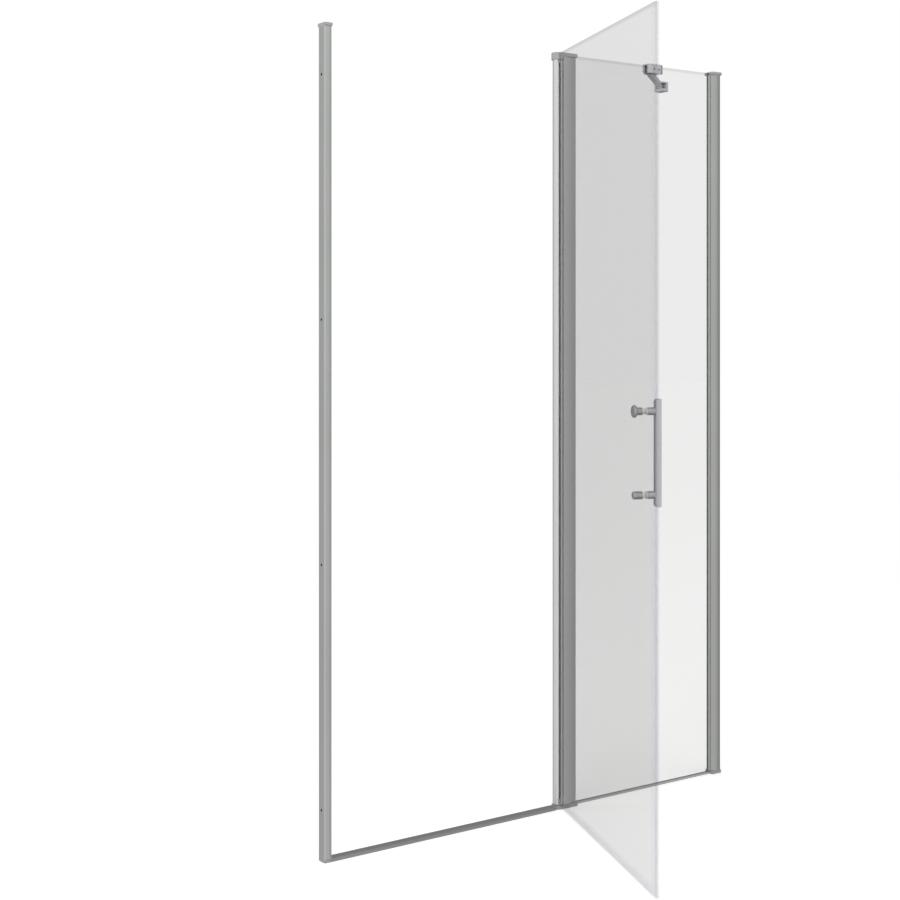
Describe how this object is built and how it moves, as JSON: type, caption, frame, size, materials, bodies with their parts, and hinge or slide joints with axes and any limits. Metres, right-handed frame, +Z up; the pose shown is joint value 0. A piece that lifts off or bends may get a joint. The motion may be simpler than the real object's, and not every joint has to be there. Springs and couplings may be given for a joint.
{
  "type": "shower door",
  "caption": "Hinged glass shower door with a fixed glass panel, aluminium wall posts, pivot column, bar handle, seals and a stabiliser arm to the side wall.",
  "frame": {"origin": "middle of the opening on the plane of the glass, at the underside of the feet where they meet the tray", "axes": "+X to the right seen from outside, +Y into the shower, +Z up"},
  "size_m": [1.2, 0.8245, 1.849],
  "materials": {
    "satin_aluminium": "satin anodised",
    "door_glass": "clear",
    "panel_glass": "clear",
    "clear_seal": "clear",
    "pale_gasket": "matte",
    "magnet": "matte",
    "cap_grey": "satin",
    "foot_grey": "satin",
    "bush_white": "matte",
    "handle_metal": "satin",
    "stainless": "satin"
  },
  "bodies": {
    "frame": {"left_wall_channel": "satin_aluminium", "left_strike_profile": "satin_aluminium", "left_magnet_seal": "pale_gasket", "left_magnet_strip": "magnet", "left_cap": "cap_grey", "left_foot": "foot_grey", "left_adjust_screws": "stainless", "middle_post": "satin_aluminium", "middle_top_cap": "cap_grey", "middle_bottom_block": "foot_grey", "cap_screws": "stainless", "bottom_block_screws": "stainless", "upper_pivot_bush": "bush_white", "lower_pivot_bush": "bush_white", "right_wall_channel": "satin_aluminium", "right_glass_profile": "satin_aluminium", "right_cap": "cap_grey", "right_foot": "foot_grey", "right_adjust_screws": "stainless", "fixed_glass": "panel_glass", "middle_glazing_gasket": "pale_gasket", "right_glazing_gasket": "pale_gasket", "panel_bottom_seal": "foot_grey", "threshold_strip": "satin_aluminium", "stabiliser_clamp": "satin_aluminium", "stabiliser_clamp_pads": "magnet", "stabiliser_grub_screws": "stainless", "stabiliser_arm": "satin_aluminium", "stabiliser_pivot_screws": "stainless", "stabiliser_wall_bracket": "satin_aluminium"},
    "door": {"door_glass": "door_glass", "hinge_column": "satin_aluminium", "column_top_plug": "foot_grey", "column_bottom_plug": "foot_grey", "upper_pivot_pin": "stainless", "lower_pivot_pin": "stainless", "hinge_glazing_gasket": "pale_gasket", "door_edge_seal": "clear_seal", "door_edge_magnet": "magnet", "door_bottom_seal": "clear_seal", "handle_bar": "handle_metal", "handle_standoffs": "handle_metal", "handle_washers": "clear_seal", "handle_studs": "stainless", "inner_knob": "handle_metal", "inner_cap_nut": "handle_metal"}
  },
  "joints": [
    {"name": "door_swing", "type": "hinge", "parent": "frame", "child": "door", "pos_m": [0.063, 0, 0.9235], "axis": [0, 0, 1], "range_deg": [-70, 25]}
  ]
}
